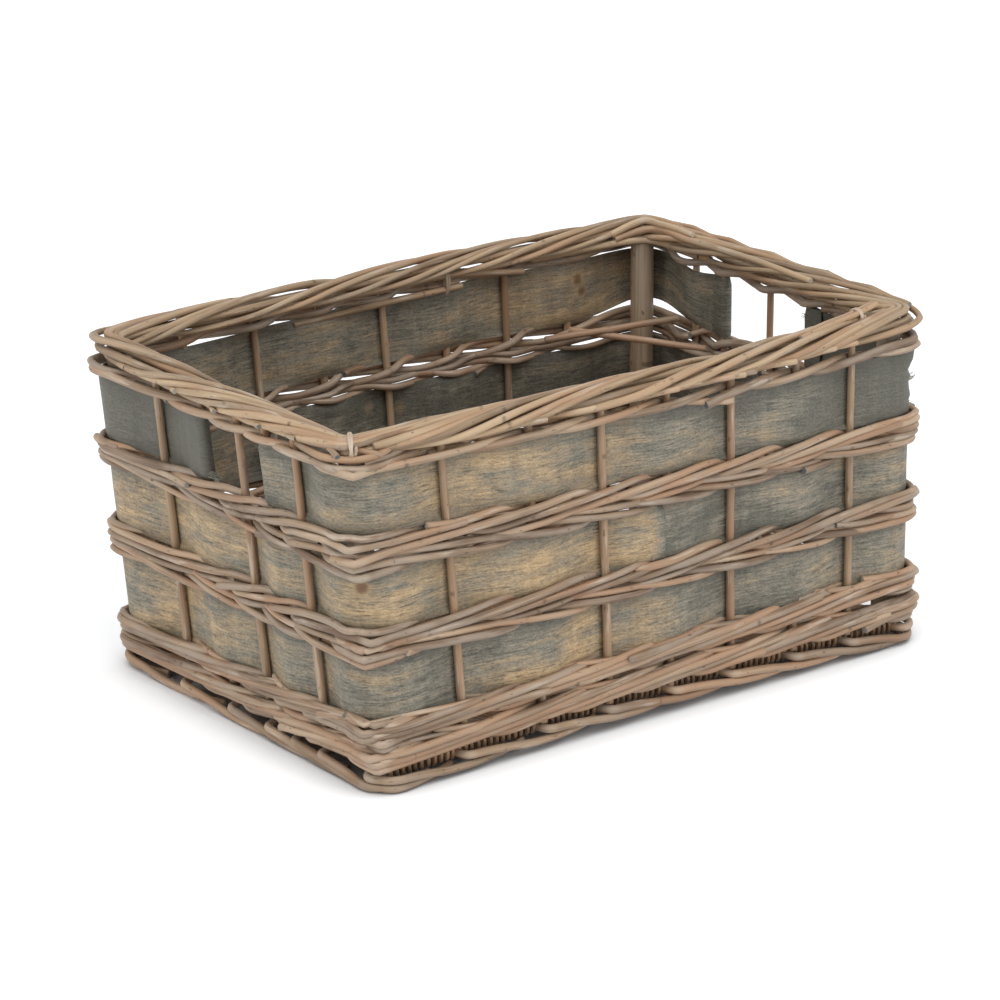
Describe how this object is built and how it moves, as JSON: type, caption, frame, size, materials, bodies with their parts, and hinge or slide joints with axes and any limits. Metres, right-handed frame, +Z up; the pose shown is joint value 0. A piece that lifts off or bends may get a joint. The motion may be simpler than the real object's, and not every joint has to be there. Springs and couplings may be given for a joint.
{
  "type": "storage basket",
  "caption": "Rectangular open willow storage basket with wide wood strips woven round upright stakes, a rolled rim and a hand hole in each short end.",
  "frame": {"origin": "on the floor, under the middle of the rim", "axes": "+X along the long sides towards the right end, +Y from the near long side to the far one, +Z up"},
  "size_m": [0.4946, 0.3255, 0.2397],
  "materials": {
    "brown_willow": "weathered brown willow rods, dull, with knots and bark freckles",
    "border_willow": "honey-coloured willow rods, slightly satin",
    "stake_willow": "straight tan willow rods, dull",
    "post_wood": "thick peeled willow, grey-brown, dull",
    "strip_wood": "thin wide wood strips, grey-washed with ochre patches and fine grain, dull",
    "base_willow": "fine woven brown willow, dull"
  },
  "bodies": {
    "root": {"band_high_pair_1": "brown_willow", "band_high_pair_2": "brown_willow", "band_high_wale_1": "brown_willow", "band_high_wale_2": "brown_willow", "band_high_wale_3": "brown_willow", "band_low_pair_1": "brown_willow", "band_low_pair_2": "brown_willow", "band_low_wale_1": "brown_willow", "band_low_wale_2": "brown_willow", "band_low_wale_3": "brown_willow", "base_mat": "base_willow", "base_stick_1": "post_wood", "base_stick_2": "post_wood", "base_stick_3": "post_wood", "base_stick_4": "post_wood", "base_wale_high_1": "brown_willow", "base_wale_high_2": "brown_willow", "base_wale_high_3": "brown_willow", "base_wale_low_1": "brown_willow", "base_wale_low_2": "brown_willow", "base_wale_low_3": "brown_willow", "corner_post_far_left": "post_wood", "corner_post_far_right": "post_wood", "corner_post_near_left": "post_wood", "corner_post_near_right": "post_wood", "foot_border": "border_willow", "rim_border_1": "border_willow", "rim_border_2": "border_willow", "rim_border_3": "border_willow", "rim_border_4": "border_willow", "rim_pair_1": "brown_willow", "rim_pair_2": "brown_willow", "stake_far_1": "stake_willow", "stake_far_2": "stake_willow", "stake_far_3": "stake_willow", "stake_far_4": "stake_willow", "stake_far_5": "stake_willow", "stake_far_6": "stake_willow", "stake_far_7": "stake_willow", "stake_left_1": "stake_willow", "stake_left_2": "stake_willow", "stake_left_3": "stake_willow", "stake_left_4": "stake_willow", "stake_left_5": "stake_willow", "stake_near_1": "stake_willow", "stake_near_2": "stake_willow", "stake_near_3": "stake_willow", "stake_near_4": "stake_willow", "stake_near_5": "stake_willow", "stake_near_6": "stake_willow", "stake_near_7": "stake_willow", "stake_right_1": "stake_willow", "stake_right_2": "stake_willow", "stake_right_3": "stake_willow", "stake_right_4": "stake_willow", "stake_right_5": "stake_willow", "strip_bottom": "strip_wood", "strip_middle": "strip_wood", "strip_top_back": "strip_wood", "strip_top_front": "strip_wood"}
  },
  "joints": []
}
